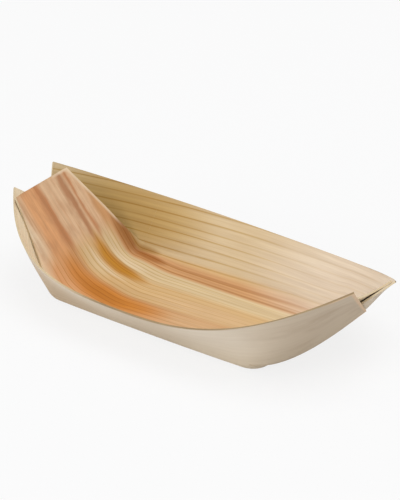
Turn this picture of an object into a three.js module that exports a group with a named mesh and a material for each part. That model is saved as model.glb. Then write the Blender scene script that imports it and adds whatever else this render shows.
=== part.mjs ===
// Boat-shaped snack dish folded from one thin sheet of pine veneer. Four oblique slits free a
// tapered tab at each end of the sheet. The tabs bend up, and the ends of the side walls wrap
// round behind them and are glued there, so two ears stand above each tab.
// Lengths are millimetres and angles are degrees. X runs along the boat, Y from the near side
// to the far side, Z up from the table.

import * as THREE from 'three';
import { toCreasedNormals } from 'three/addons/utils/BufferGeometryUtils.js';

// Veneer sheet, and the hairline left open where two panels meet
const VENEER = 0.7;
const PANEL_GAP = 0.3;

// Flat floor from the middle of the boat, and the soft crease along each of its sides
const FLOOR_HALF_LENGTH = 41.4;
const FLOOR_HALF_WIDTH = { near: 23.4, far: 21 };
const CREASE_WIDTH = 7.5;

// End tabs: round bend, tighter at the roots of the left slits, then slope, straight length, the
// corners of the top edge from its middle and how much lower each one sits. The right tab is
// twisted, by degrees for each millimetre across. The slits start a little past the flat floor
// and gape there, and beyond their start the tabs grow cupped, edges towards the food.
const TAB_BEND_RADIUS = 16;
const ROOT_BEND_RADIUS = { near_left: 5, near_right: 16, far_left: 5, far_right: 16 };
const TAB_ANGLE = 48;
const TAB_STRAIGHT = 35;
const TAB_TOP_HALF_WIDTH = { near_left: 18, near_right: 14, far_left: 14, far_right: 18.8 };
const TAB_TOP_DROP = { near_left: 0, near_right: 2.5, far_left: 0, far_right: 0 };
const TAB_TWIST = { left: 0, right: 0.31 };
const SLIT_PAST_FLOOR = 5.6;
const SLIT_START = FLOOR_HALF_LENGTH + SLIT_PAST_FLOOR;
const SLIT_OPENING = { near_left: 3.4, near_right: 3.4, far_left: 0.85, far_right: 1.8 };
const SLIT_OPENING_LENGTH = 3.5;
const TAB_CUP = 1.8;
const TAB_CUP_LENGTH = 25;

// Top edge of each side wall: place at mid length, how long it stays straight there, and the
// way it turns in to the ears
const RIM_REACH = { near: 44.7, far: 42.5 };
const RIM_HEIGHT = { near: 18, far: 17.4 };
const RIM_STRAIGHT = { near: 31, far: 43 };
const RIM_END_CURVE = { near: 42, far: 28 };
const RIM_END_TURN = { near: 54, far: 59.5 };
const RIM_END_RISE = { near: 0.39, far: 0.57 };

// End flaps: ear tip and low corner seen from the middle of the tab's top edge, as millimetres
// across the boat, up the tab's slope and out behind the tab. The flap swells by its bulge and
// the middle of its end edge bows out. At the left end the far flap lies outermost, at the
// right end the near one.
const FLAP = {
  near_left: { ear: [12.1, 3.6, 1.8], low: [-9.5, -19, 2.4], bulge: 1.5, bow: 0 },
  near_right: { ear: [12, 10.1, -1], low: [-12.8, -14.6, 4.7], bulge: 2.4, bow: 1.1 },
  far_left: { ear: [13.7, 4.6, 2.6], low: [-9, -18.5, 4], bulge: 1, bow: 0 },
  far_right: { ear: [12.5, 7, 3.6], low: [-8.3, -18, 2], bulge: 2, bow: -0.3 },
};

// Slit edge of every flap: shares of the slit's length over which it keeps the direction of the
// wall and that of the end edge, and how far it dips outward past the root of the slit
const FLAP_START_PULL = { near_left: 0.8, near_right: 1.1, far_left: 1.6, far_right: 1.3 };
const FLAP_END_PULL = 0.8;
const FLAP_DIP = { near_left: 0.6, near_right: 0.3, far_left: 3.5, far_right: 1.2 };

// Glue spots: place and half size on the flap, as shares of its length and width, and the
// hairline to the veneer on both sides
const GLUE_ALONG = 0.86;
const GLUE_UP = { near_left: 0.5, near_right: 0.68, far_left: 0.66, far_right: 0.5 };
const GLUE_HALF_ALONG = 0.06;
const GLUE_HALF_UP = 0.1;
const GLUE_CLEARANCE = 0.12;

// Step for finding the direction of a surface by comparing near places on it
const SAMPLE_STEP = 1e-3;

// Edges that turn by more than this stay sharp
const SHARP_EDGE = 40;

const SIDE_SIGN = { near: -1, far: 1 };
const END_SIGN = { left: -1, right: 1 };
const BLANK_HALF_LENGTH = FLOOR_HALF_LENGTH + TAB_BEND_RADIUS * rad(TAB_ANGLE) + TAB_STRAIGHT;

function rad(degrees) {
  return THREE.MathUtils.degToRad(degrees);
}

function point(x, y, z) {
  return new THREE.Vector3(x, y, z);
}

// Every panel is worked out as if it were at the far right, then turned to its own side and end
function toCorner(place, side, end) {
  return point(place.x * END_SIGN[end], place.y * SIDE_SIGN[side], place.z);
}

// Slope of a tab at a distance across it, positive to the far side
function tabSlope(across, end) {
  return rad(TAB_ANGLE - TAB_TWIST[end] * across);
}

// Bend of a tab at a distance across it, which starts so that the tab beyond it is flat
function tabBend(across, end) {
  const side = across < 0 ? 'near' : 'far';
  const half = FLOOR_HALF_WIDTH[side];
  const edge = THREE.MathUtils.smoothstep(Math.abs(across), half / 2, half);
  const radius = THREE.MathUtils.lerp(TAB_BEND_RADIUS, ROOT_BEND_RADIUS[`${side}_${end}`], edge);
  const slope = tabSlope(across, end);
  const start = FLOOR_HALF_LENGTH + (TAB_BEND_RADIUS - radius) * Math.tan(slope / 2);
  return { radius, slope, start };
}

// Point of a bend where it has turned by an angle
function bendPoint({ radius, start }, turned) {
  return point(start + radius * Math.sin(turned), 0, VENEER / 2 + radius * (1 - Math.cos(turned)));
}

// Middle of the sheet along the boat: flat floor, round bend, straight tab
function longSection(along, across, end) {
  const bend = tabBend(across, end);
  const turned = (along - bend.start) / bend.radius;
  if (turned <= 0) return point(along, 0, VENEER / 2);
  if (turned <= bend.slope) return bendPoint(bend, turned);
  const straight = along - bend.start - bend.radius * bend.slope;
  const uphill = point(Math.cos(bend.slope), 0, Math.sin(bend.slope));
  return bendPoint(bend, bend.slope).addScaledVector(uphill, straight);
}

// Place given in the flat of a tab, from the middle of its top edge
function fromTabTop([across, up, behind]) {
  const slope = rad(TAB_ANGLE);
  const top = longSection(BLANK_HALF_LENGTH, 0, 'left');
  const x = top.x + up * Math.cos(slope) + behind * Math.sin(slope);
  const z = top.z + up * Math.sin(slope) - behind * Math.cos(slope);
  return point(x, across, z);
}

// Half of a wall's top edge, from the middle of the boat to the tip of an ear
function makeRim(side, end) {
  const ear = fromTabTop(FLAP[`${side}_${end}`].ear);
  const turn = rad(RIM_END_TURN[side]);
  const pull = point(Math.cos(turn), -Math.sin(turn), RIM_END_RISE[side] * Math.sin(turn));
  const middle = point(0, RIM_REACH[side], RIM_HEIGHT[side]);
  const leave = point(RIM_STRAIGHT[side], RIM_REACH[side], RIM_HEIGHT[side]);
  const arrive = ear.clone().addScaledVector(pull, -RIM_END_CURVE[side]);
  return new THREE.CubicBezierCurve3(middle, leave, arrive, ear);
}

const RIM = {
  near_left: makeRim('near', 'left'),
  near_right: makeRim('near', 'right'),
  far_left: makeRim('far', 'left'),
  far_right: makeRim('far', 'right'),
};

// Share of the rim curve where it has come a distance along the boat
function rimShare(side, end, along) {
  let low = 0;
  let high = 1;
  for (let step = 0; step < 40; step += 1) {
    const middle = (low + high) / 2;
    if (RIM[`${side}_${end}`].getPoint(middle).x < along) low = middle;
    else high = middle;
  }
  return low;
}

function rimAt(side, end, along) {
  return RIM[`${side}_${end}`].getPoint(rimShare(side, end, along));
}

// Angle the crease turns through so that the wall runs straight on to its top edge
function creaseTurn(side, end, along) {
  const rim = rimAt(side, end, along);
  const floor = longSection(along, SIDE_SIGN[side] * FLOOR_HALF_WIDTH[side], end).z;
  let turn = 1;
  for (let step = 0; step < 14; step += 1) {
    const radius = CREASE_WIDTH / turn;
    const rise = rim.z - floor - radius * (1 - Math.cos(turn));
    const reach = rim.y - FLOOR_HALF_WIDTH[side] - radius * Math.sin(turn);
    turn = Math.atan2(rise, reach);
  }
  return turn;
}

// Share of a slit's length at a distance along the blank
function slitShare(along) {
  return (along - SLIT_START) / (BLANK_HALF_LENGTH - SLIT_START);
}

// Distance of a slit from the middle of the blank
function slitAcross(side, end, along) {
  const start = FLOOR_HALF_WIDTH[side] + CREASE_WIDTH;
  return start + (TAB_TOP_HALF_WIDTH[`${side}_${end}`] - start) * slitShare(along);
}

// Lift of a tab's edges where it is cupped, square to the tab
function cupLift(away, across, side, end) {
  const half = slitAcross(side, end, away);
  const grown = THREE.MathUtils.smoothstep(away, SLIT_START, SLIT_START + TAB_CUP_LENGTH);
  const bend = tabBend(across, end);
  const slope = THREE.MathUtils.clamp((away - bend.start) / bend.radius, 0, rad(TAB_ANGLE));
  const lift = TAB_CUP * grown * (across / half) ** 2;
  return point(-Math.sin(slope) * lift, 0, Math.cos(slope) * lift);
}

// Middle of the sheet over the floor and the tabs, from places on the flat blank
function stripPoint(along, across) {
  const side = across < 0 ? 'near' : 'far';
  const end = along < 0 ? 'left' : 'right';
  const away = Math.abs(along);
  const beyond = Math.abs(across) - FLOOR_HALF_WIDTH[side];
  const section = longSection(away, across, end);
  if (away > SLIT_START) section.add(cupLift(away, across, side, end));
  if (beyond <= 0) return toCorner(point(section.x, Math.abs(across), section.z), side, end);
  const turn = creaseTurn(side, end, Math.min(away, SLIT_START));
  const radius = CREASE_WIDTH / turn;
  const y = FLOOR_HALF_WIDTH[side] + radius * Math.sin(beyond / radius);
  const z = section.z + radius * (1 - Math.cos(beyond / radius));
  return toCorner(point(section.x, y, z), side, end);
}

// Foot of a wall at the outer edge of its crease
function wallFoot(side, end, along) {
  const across = (FLOOR_HALF_WIDTH[side] + CREASE_WIDTH) * SIDE_SIGN[side];
  return toCorner(stripPoint(along * END_SIGN[end], across), side, end);
}

// Side wall, straight from its foot to its top edge
function wallPoint(side, along, share) {
  const end = along < 0 ? 'left' : 'right';
  const away = Math.abs(along);
  const foot = wallFoot(side, end, away);
  return toCorner(foot.lerp(rimAt(side, end, away), share), side, end);
}

// Smooth curve between two places with a pull at each
function pulledCurve(start, startPull, finish, finishPull) {
  const leave = start.clone().addScaledVector(startPull, 1 / 3);
  const arrive = finish.clone().addScaledVector(finishPull, -1 / 3);
  return new THREE.CubicBezierCurve3(start, leave, arrive, finish);
}

// Slit edge of a flap: it runs on in the plane of the wall along the slit, then turns in
// behind the tab to the flap's low corner
function makeSlitEdge(side, end) {
  const key = `${side}_${end}`;
  const slope = rad(TAB_ANGLE);
  const outward = point(Math.sin(slope), 0, -Math.cos(slope));
  const length = BLANK_HALF_LENGTH - SLIT_START;
  const start = wallFoot(side, end, SLIT_START);
  const forward = start.clone().sub(wallFoot(side, end, SLIT_START - SAMPLE_STEP)).normalize();
  const down = start.clone().sub(rimAt(side, end, SLIT_START)).normalize();
  const lean = (FLOOR_HALF_WIDTH[side] + CREASE_WIDTH - TAB_TOP_HALF_WIDTH[key]) / length;
  const heading = forward.addScaledVector(down, lean).normalize();
  const ear = fromTabTop(FLAP[key].ear);
  const low = fromTabTop(FLAP[key].low);
  const arriving = ear.clone().sub(low).cross(outward).normalize();
  if (arriving.y > 0) arriving.negate();
  const startPull = heading.multiplyScalar(length * FLAP_START_PULL[key]);
  startPull.addScaledVector(outward, FLAP_DIP[key] * 3);
  return pulledCurve(start, startPull, low, arriving.multiplyScalar(length * FLAP_END_PULL));
}

const SLIT_EDGE = {
  near_left: makeSlitEdge('near', 'left'),
  near_right: makeSlitEdge('near', 'right'),
  far_left: makeSlitEdge('far', 'left'),
  far_right: makeSlitEdge('far', 'right'),
};

// Flap without its swelling: straight lines from its slit edge to its top edge
function ruledFlap(side, end, along, share) {
  const key = `${side}_${end}`;
  const rimStart = rimShare(side, end, SLIT_START);
  const rim = RIM[key].getPoint(rimStart + (1 - rimStart) * along);
  return SLIT_EDGE[key].getPoint(along).lerp(rim, share);
}

// Direction square to a surface given by two shares
function squareTo(surface, first, second) {
  const one = surface(first + SAMPLE_STEP, second).sub(surface(first - SAMPLE_STEP, second));
  const two = surface(first, second + SAMPLE_STEP).sub(surface(first, second - SAMPLE_STEP));
  return one.cross(two).normalize();
}

// End flap: swells outward in the middle as it wraps round the corner of the boat
function flapPoint(side, end, along, share) {
  const ruled = (first, second) => ruledFlap(side, end, first, second);
  const outward = squareTo(ruled, along, share);
  if (outward.x < 0) outward.negate();
  const shape = FLAP[`${side}_${end}`];
  const crown = 4 * share * (1 - share);
  const swell = crown * (shape.bulge * 16 * (along * (1 - along)) ** 2 + shape.bow * along ** 2);
  return toCorner(ruled(along, share).addScaledVector(outward, swell), side, end);
}

// Closed body from two matching faces, the triangles of the upper one and its edge in order
function closedBody(upper, lower, triangles, edge) {
  const count = upper.length;
  const index = [];
  for (const [a, b, c] of triangles) {
    index.push(a, b, c, a + count, c + count, b + count);
  }
  edge.forEach((a, place) => {
    const b = edge[(place + 1) % edge.length];
    index.push(b, a, a + count, b, a + count, b + count);
  });
  const geometry = new THREE.BufferGeometry().setFromPoints([...upper, ...lower]);
  geometry.setIndex(index);
  return toCreasedNormals(geometry, rad(SHARP_EDGE));
}

// Panel of veneer: the surface over two lists of places, half the thickness to each side
function veneerPanel(surface, firsts, seconds) {
  const upper = [];
  const lower = [];
  for (const first of firsts) {
    for (const second of seconds) {
      const middle = surface(first, second);
      const square = squareTo(surface, first, second).multiplyScalar(VENEER / 2);
      upper.push(middle.clone().add(square));
      lower.push(middle.clone().sub(square));
    }
  }
  const rows = seconds.length;
  const lastColumn = firsts.length - 1;
  const at = (column, row) => column * rows + row;
  const triangles = [];
  for (let column = 0; column < lastColumn; column += 1) {
    for (let row = 0; row < rows - 1; row += 1) {
      triangles.push([at(column, row), at(column + 1, row), at(column + 1, row + 1)]);
      triangles.push([at(column, row), at(column + 1, row + 1), at(column, row + 1)]);
    }
  }
  const edge = [];
  for (let column = 0; column < lastColumn; column += 1) edge.push(at(column, 0));
  for (let row = 0; row < rows - 1; row += 1) edge.push(at(lastColumn, row));
  for (let column = lastColumn; column > 0; column -= 1) edge.push(at(column, rows - 1));
  for (let row = rows - 1; row > 0; row -= 1) edge.push(at(0, row));
  return closedBody(upper, lower, triangles, edge);
}

// Evenly spaced places from one value to another
function spaced(from, to, steps) {
  return Array.from({ length: steps + 1 }, (_, step) => from + (to - from) * step / steps);
}

// Places in several runs that share their ends
function runs(...lists) {
  return lists.flatMap((list, order) => (order === 0 ? list : list.slice(1)));
}

// Floor with both creases and the beginning of the end bends
function floorPanel() {
  const bendSteps = 4;
  const flatSteps = 16;
  const creaseSteps = 5;
  const acrossSteps = 4;
  const bendAlong = spaced(FLOOR_HALF_LENGTH, SLIT_START, bendSteps);
  const flatAlong = spaced(-FLOOR_HALF_LENGTH, FLOOR_HALF_LENGTH, flatSteps);
  const firsts = runs(bendAlong.map((along) => -along).reverse(), flatAlong, bendAlong);
  const near = FLOOR_HALF_WIDTH.near;
  const far = FLOOR_HALF_WIDTH.far;
  const nearCrease = spaced(-near - CREASE_WIDTH, -near, creaseSteps);
  const farCrease = spaced(far, far + CREASE_WIDTH, creaseSteps);
  const flatAcross = spaced(-near, far, acrossSteps);
  return veneerPanel(stripPoint, firsts, runs(nearCrease, flatAcross, farCrease));
}

// Half width of a tab, a little inside its slit
function tabHalfWidth(side, end, along) {
  const opening = THREE.MathUtils.smoothstep(along, SLIT_START, SLIT_START + SLIT_OPENING_LENGTH);
  const opened = SLIT_OPENING[`${side}_${end}`] * opening * (1 - slitShare(along));
  return slitAcross(side, end, along) - PANEL_GAP - opened;
}

// End tab from the root of its slits to its top edge
function tabPanel(end) {
  const bendSteps = 6;
  const straightSteps = 10;
  const acrossSteps = 16;
  const surface = (along, share) => {
    const side = share < 0 ? 'near' : 'far';
    const drop = TAB_TOP_DROP[`${side}_${end}`] * slitShare(along) * share ** 2;
    return stripPoint((along - drop) * END_SIGN[end], share * tabHalfWidth(side, end, along));
  };
  const bendFinish = FLOOR_HALF_LENGTH + TAB_BEND_RADIUS * rad(TAB_ANGLE);
  const bent = spaced(SLIT_START + PANEL_GAP, bendFinish, bendSteps);
  const straight = spaced(bendFinish, BLANK_HALF_LENGTH, straightSteps);
  return veneerPanel(surface, runs(bent, straight), spaced(-1, 1, acrossSteps));
}

// Side wall between the roots of its slits, a hairline above its crease
function wallPanel(side) {
  const alongSteps = 30;
  const upSteps = 4;
  const surface = (along, share) => wallPoint(side, along, share);
  const width = wallPoint(side, 0, 0).distanceTo(wallPoint(side, 0, 1));
  const firsts = spaced(-SLIT_START, SLIT_START, alongSteps);
  return veneerPanel(surface, firsts, spaced(PANEL_GAP / width, 1, upSteps));
}

// End flap from the end of its wall to its end edge behind the tab
function flapPanel(side, end) {
  const alongSteps = 22;
  const upSteps = 8;
  const surface = (along, share) => flapPoint(side, end, along, share);
  const start = PANEL_GAP / (BLANK_HALF_LENGTH - SLIT_START);
  return veneerPanel(surface, spaced(start, 1, alongSteps), spaced(0, 1, upSteps));
}

// Face of a glue spot against its flap, just clear of the flap's inner face
function glueOnFlap(side, end, along, share) {
  const surface = (first, second) => flapPoint(side, end, first, second);
  const inward = squareTo(surface, along, share);
  if (inward.x * END_SIGN[end] > 0) inward.negate();
  return surface(along, share).addScaledVector(inward, VENEER / 2 + GLUE_CLEARANCE);
}

// Face of a glue spot against the tab, straight in from a place on the flap
function glueOnTab(place, end) {
  const bend = tabBend(place.y, end);
  const slope = bend.slope;
  const start = bendPoint(bend, slope);
  const uphill = point(Math.cos(slope), 0, Math.sin(slope));
  const outward = point(Math.sin(slope) * END_SIGN[end], 0, -Math.cos(slope));
  const straight = point(Math.abs(place.x), 0, place.z).sub(start).dot(uphill);
  const along = bend.start + bend.radius * slope + straight;
  const middle = stripPoint(along * END_SIGN[end], place.y);
  return middle.addScaledVector(outward, VENEER / 2 + GLUE_CLEARANCE);
}

// Round spot of glue that fills the space between a tab and a flap
function glueSpot(side, end) {
  const ringCount = 2;
  const sectors = 20;
  const clockwise = -SIDE_SIGN[side] * END_SIGN[end];
  const up = GLUE_UP[`${side}_${end}`];
  const shares = [[GLUE_ALONG, up]];
  for (let ring = 1; ring <= ringCount; ring += 1) {
    for (let sector = 0; sector < sectors; sector += 1) {
      const angle = clockwise * 2 * Math.PI * sector / sectors;
      const along = GLUE_ALONG + GLUE_HALF_ALONG * Math.cos(angle) * ring / ringCount;
      shares.push([along, up + GLUE_HALF_UP * Math.sin(angle) * ring / ringCount]);
    }
  }
  const at = (ring, sector) => 1 + (ring - 1) * sectors + sector % sectors;
  const triangles = [];
  for (let sector = 0; sector < sectors; sector += 1) {
    triangles.push([0, at(1, sector), at(1, sector + 1)]);
    triangles.push([at(1, sector), at(2, sector), at(2, sector + 1)]);
    triangles.push([at(1, sector), at(2, sector + 1), at(1, sector + 1)]);
  }
  const edge = spaced(0, sectors - 1, sectors - 1).map((sector) => at(ringCount, sector));
  const onFlap = shares.map(([along, share]) => glueOnFlap(side, end, along, share));
  const onTab = onFlap.map((place) => glueOnTab(place, end));
  return closedBody(onFlap, onTab, triangles, edge);
}

// Colours of the sheet as its inner and outer faces show them, and of the dried glue
const FINISH = {
  floor: { color: 0xd8b586, roughness: 0.75 },
  tab: { color: 0xcf9f68, roughness: 0.75 },
  near_wall: { color: 0xccbca3, roughness: 0.8 },
  far_wall: { color: 0xe0c69c, roughness: 0.75 },
  flap: { color: 0xb9a98f, roughness: 0.8 },
  glue: { color: 0xe8dcc0, roughness: 0.5 },
};

function addPiece(group, name, geometry, finish) {
  const material = new THREE.MeshStandardMaterial({ ...finish, metalness: 0 });
  const piece = new THREE.Mesh(geometry, material);
  piece.name = name;
  group.add(piece);
}

const boat = new THREE.Group();
boat.name = 'snack_boat';

addPiece(boat, 'floor_panel', floorPanel(), FINISH.floor);
for (const end of ['left', 'right']) {
  addPiece(boat, `${end}_end_tab`, tabPanel(end), FINISH.tab);
}
for (const side of ['near', 'far']) {
  addPiece(boat, `${side}_side_wall`, wallPanel(side), FINISH[`${side}_wall`]);
  for (const end of ['left', 'right']) {
    addPiece(boat, `${side}_${end}_flap`, flapPanel(side, end), FINISH.flap);
    addPiece(boat, `${side}_${end}_glue`, glueSpot(side, end), FINISH.glue);
  }
}

export default boat;
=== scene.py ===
import math
from functools import lru_cache

import bpy
import numpy as np
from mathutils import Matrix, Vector


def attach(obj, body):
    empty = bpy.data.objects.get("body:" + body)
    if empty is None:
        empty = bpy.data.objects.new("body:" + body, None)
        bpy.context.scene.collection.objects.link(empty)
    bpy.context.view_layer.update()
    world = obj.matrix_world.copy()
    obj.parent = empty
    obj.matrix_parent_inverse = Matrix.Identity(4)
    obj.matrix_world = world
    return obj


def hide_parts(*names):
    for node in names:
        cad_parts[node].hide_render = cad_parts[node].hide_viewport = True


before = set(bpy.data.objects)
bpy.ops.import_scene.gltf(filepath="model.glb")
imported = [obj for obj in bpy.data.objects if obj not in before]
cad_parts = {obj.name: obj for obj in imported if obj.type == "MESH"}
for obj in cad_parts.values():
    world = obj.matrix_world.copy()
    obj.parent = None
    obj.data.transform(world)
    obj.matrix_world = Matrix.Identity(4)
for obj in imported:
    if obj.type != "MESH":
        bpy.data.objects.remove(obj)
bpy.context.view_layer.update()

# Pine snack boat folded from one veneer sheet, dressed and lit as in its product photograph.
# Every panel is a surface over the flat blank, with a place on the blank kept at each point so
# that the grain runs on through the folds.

# Sizes of the folded sheet in millimetres and radians. They are those of the part's solids, except
# that the slits are tighter and the right tab leans out more and is twisted less.

VENEER = 0.7
FLOOR_HALF_LENGTH = 41.4
FLOOR_HALF_WIDTH = {"near": 23.4, "far": 21.0}
CREASE_WIDTH = 7.5
TAB_BEND_RADIUS = 16.0
ROOT_BEND_RADIUS = {
    ("near", "left"): 5.0,
    ("near", "right"): 16.0,
    ("far", "left"): 5.0,
    ("far", "right"): 16.0,
}
TAB_ANGLE = math.radians(48.0)
TAB_STRAIGHT = 35.0
TAB_TOP_HALF_WIDTH = {
    ("near", "left"): 18.0,
    ("near", "right"): 14.0,
    ("far", "left"): 14.0,
    ("far", "right"): 18.8,
}
TAB_TOP_DROP = {
    ("near", "left"): 0.0,
    ("near", "right"): 2.5,
    ("far", "left"): 0.0,
    ("far", "right"): 0.0,
}
TAB_LEAN = {"left": 0.0, "right": math.radians(1.5)}
TAB_TWIST = {"left": 0.0, "right": math.radians(0.23)}
SLIT_PAST_FLOOR = 5.6
SLIT_START = FLOOR_HALF_LENGTH + SLIT_PAST_FLOOR
SLIT_GAP = 0.05
SLIT_OPENING = {
    ("near", "left"): 1.4,
    ("near", "right"): 0.3,
    ("far", "left"): 0.2,
    ("far", "right"): 0.6,
}
SLIT_OPENING_LENGTH = 3.5
TAB_CUP = 1.8
TAB_CUP_LENGTH = 25.0
RIM_REACH = {"near": 44.7, "far": 42.5}
RIM_HEIGHT = {"near": 18.0, "far": 17.4}
RIM_STRAIGHT = {"near": 31.0, "far": 43.0}
RIM_END_CURVE = {"near": 42.0, "far": 28.0}
RIM_END_TURN = {"near": math.radians(54.0), "far": math.radians(59.5)}
RIM_END_RISE = {"near": 0.39, "far": 0.57}

# End flaps: ear tip and low corner from the middle of the tab's top edge, as millimetres across the
# boat, up the tab's slope and out behind the tab, then the swelling of the flap and of its end edge

FLAP = {
    ("near", "left"): {"ear": (12.1, 3.6, 1.8), "low": (-9.5, -19.0, 2.4), "bulge": 1.5, "bow": 0.0},
    ("near", "right"): {"ear": (12.0, 10.1, -1.0), "low": (-12.8, -14.6, 4.7), "bulge": 2.4, "bow": 1.1},
    ("far", "left"): {"ear": (13.7, 4.6, 2.6), "low": (-9.0, -18.5, 4.0), "bulge": 1.0, "bow": 0.0},
    ("far", "right"): {"ear": (12.5, 7.0, 3.6), "low": (-8.3, -18.0, 2.0), "bulge": 2.0, "bow": -0.3},
}

# Slit edge of every flap: how strongly it keeps on in the plane of the wall, how far it dips outward
# in millimetres, and how strongly it comes in square to the flap's end edge

FLAP_START_PULL = {
    ("near", "left"): 0.8,
    ("near", "right"): 1.1,
    ("far", "left"): 1.6,
    ("far", "right"): 1.3,
}
FLAP_DIP = {
    ("near", "left"): 0.6,
    ("near", "right"): 0.3,
    ("far", "left"): 3.5,
    ("far", "right"): 1.2,
}
FLAP_END_PULL = 0.8

BLANK_HALF_LENGTH = FLOOR_HALF_LENGTH + TAB_BEND_RADIUS * TAB_ANGLE + TAB_STRAIGHT
SAMPLE_STEP = 1e-3
RIM_HALVINGS = 40
CREASE_ROUNDS = 14
FIRST_CREASE_TURN = 1.0
SIDE_SIGN = {"near": -1.0, "far": 1.0}
END_SIGN = {"left": -1.0, "right": 1.0}


def place(x, y, z):
    return np.array((x, y, z), float)


def side_of(across):
    return "near" if across < 0 else "far"


def end_of(along):
    return "left" if along < 0 else "right"


def to_corner(spot, side, end):
    """Every panel is worked out at the far right, then turned to its own side and end."""
    return spot * place(END_SIGN[end], SIDE_SIGN[side], 1.0)


def unit(vector):
    return vector / np.linalg.norm(vector)


def bezier(points, share):
    """Place on a curve given by its ends and the two points that pull it."""
    a, b, c, d = points
    rest = 1.0 - share
    return rest**3 * a + 3 * share * rest**2 * b + 3 * share**2 * rest * c + share**3 * d


def hump(share):
    """0 at both ends and 1 in the middle."""
    return 4 * share * (1 - share)


def tab_slope(across, end):
    """Slope of a tab at a distance across it, positive to the far side."""
    return TAB_ANGLE - TAB_LEAN[end] - TAB_TWIST[end] * across


def smoothstep(value, low, high):
    share = min(max((value - low) / (high - low), 0.0), 1.0)
    return share * share * (3 - 2 * share)


def tab_bend(across, end):
    """Radius, slope and start of a tab's bend: tighter towards the slits, the tab beyond it flat."""
    side = side_of(across)
    edge = smoothstep(abs(across), FLOOR_HALF_WIDTH[side] / 2, FLOOR_HALF_WIDTH[side])
    radius = TAB_BEND_RADIUS + (ROOT_BEND_RADIUS[side, end] - TAB_BEND_RADIUS) * edge
    slope = tab_slope(across, end)
    return radius, slope, FLOOR_HALF_LENGTH + (TAB_BEND_RADIUS - radius) * math.tan(slope / 2)


def bend_point(radius, start, turned):
    """Point of a bend where it has turned by an angle."""
    x = start + radius * math.sin(turned)
    return place(x, 0.0, VENEER / 2 + radius * (1 - math.cos(turned)))


def long_section(along, across, end):
    """Middle of the sheet along the boat: flat floor, round bend, straight tab."""
    radius, slope, start = tab_bend(across, end)
    turned = (along - start) / radius
    if turned <= 0:
        return place(along, 0.0, VENEER / 2)
    if turned <= slope:
        return bend_point(radius, start, turned)
    straight = along - start - radius * slope
    return bend_point(radius, start, slope) + straight * place(math.cos(slope), 0.0, math.sin(slope))


def from_tab_top(spot):
    """Place given in the flat of a tab, from the middle of its top edge."""
    across, up, behind = spot
    top = long_section(BLANK_HALF_LENGTH, 0.0, "left")
    x = top[0] + up * math.cos(TAB_ANGLE) + behind * math.sin(TAB_ANGLE)
    z = top[2] + up * math.sin(TAB_ANGLE) - behind * math.cos(TAB_ANGLE)
    return place(x, across, z)


@lru_cache(maxsize=None)
def rim_curve(side, end):
    """Half of a wall's top edge, from the middle of the boat to the tip of an ear."""
    ear = from_tab_top(FLAP[side, end]["ear"])
    turn = RIM_END_TURN[side]
    pull = place(math.cos(turn), -math.sin(turn), RIM_END_RISE[side] * math.sin(turn))
    middle = place(0.0, RIM_REACH[side], RIM_HEIGHT[side])
    leave = place(RIM_STRAIGHT[side], RIM_REACH[side], RIM_HEIGHT[side])
    return middle, leave, ear - RIM_END_CURVE[side] * pull, ear


@lru_cache(maxsize=None)
def rim_share(side, end, along):
    """Share of the rim curve where it has come a distance along the boat."""
    low, high = 0.0, 1.0
    for _ in range(RIM_HALVINGS):
        middle = (low + high) / 2
        if bezier(rim_curve(side, end), middle)[0] < along:
            low = middle
        else:
            high = middle
    return low


def rim_at(side, end, along):
    return bezier(rim_curve(side, end), rim_share(side, end, along))


@lru_cache(maxsize=None)
def crease_turn(side, end, along):
    """Angle the crease turns through so that the wall runs straight on to its top edge."""
    rim = rim_at(side, end, along)
    floor = long_section(along, FLOOR_HALF_WIDTH[side] * SIDE_SIGN[side], end)[2]
    turn = FIRST_CREASE_TURN
    for _ in range(CREASE_ROUNDS):
        radius = CREASE_WIDTH / turn
        rise = rim[2] - floor - radius * (1 - math.cos(turn))
        reach = rim[1] - FLOOR_HALF_WIDTH[side] - radius * math.sin(turn)
        turn = math.atan2(rise, reach)
    return turn


def slit_share(along):
    """Share of a slit's length at a distance along the blank."""
    return (along - SLIT_START) / (BLANK_HALF_LENGTH - SLIT_START)


def slit_across(side, end, along):
    """Distance of a slit from the middle of the blank."""
    start = FLOOR_HALF_WIDTH[side] + CREASE_WIDTH
    return start + (TAB_TOP_HALF_WIDTH[side, end] - start) * slit_share(along)


def tab_half_width(side, end, along):
    """Half width of a tab, a little inside its slit."""
    opening = smoothstep(along, SLIT_START, SLIT_START + SLIT_OPENING_LENGTH)
    opened = SLIT_OPENING[side, end] * opening * (1 - slit_share(along))
    return slit_across(side, end, along) - SLIT_GAP - opened


def cup_lift(away, across, side, end):
    """Lift of a tab's edges where it is cupped, square to the tab."""
    half = slit_across(side, end, away)
    grown = smoothstep(away, SLIT_START, SLIT_START + TAB_CUP_LENGTH)
    radius, _, start = tab_bend(across, end)
    slope = min(max((away - start) / radius, 0.0), TAB_ANGLE)
    lift = TAB_CUP * grown * (across / half) ** 2
    return lift * place(-math.sin(slope), 0.0, math.cos(slope))


def strip_point(along, across):
    """Middle of the sheet over the floor and the tabs, from places on the flat blank."""
    side = side_of(across)
    end = end_of(along)
    away = abs(along)
    beyond = abs(across) - FLOOR_HALF_WIDTH[side]
    section = long_section(away, across, end)
    if away > SLIT_START:
        section = section + cup_lift(away, across, side, end)
    if beyond <= 0:
        return to_corner(place(section[0], abs(across), section[2]), side, end)
    turn = crease_turn(side, end, min(away, SLIT_START))
    radius = CREASE_WIDTH / turn
    y = FLOOR_HALF_WIDTH[side] + radius * math.sin(beyond / radius)
    z = section[2] + radius * (1 - math.cos(beyond / radius))
    return to_corner(place(section[0], y, z), side, end)


def wall_foot(side, end, along):
    """Foot of a wall at the outer edge of its crease."""
    across = (FLOOR_HALF_WIDTH[side] + CREASE_WIDTH) * SIDE_SIGN[side]
    return to_corner(strip_point(along * END_SIGN[end], across), side, end)


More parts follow.
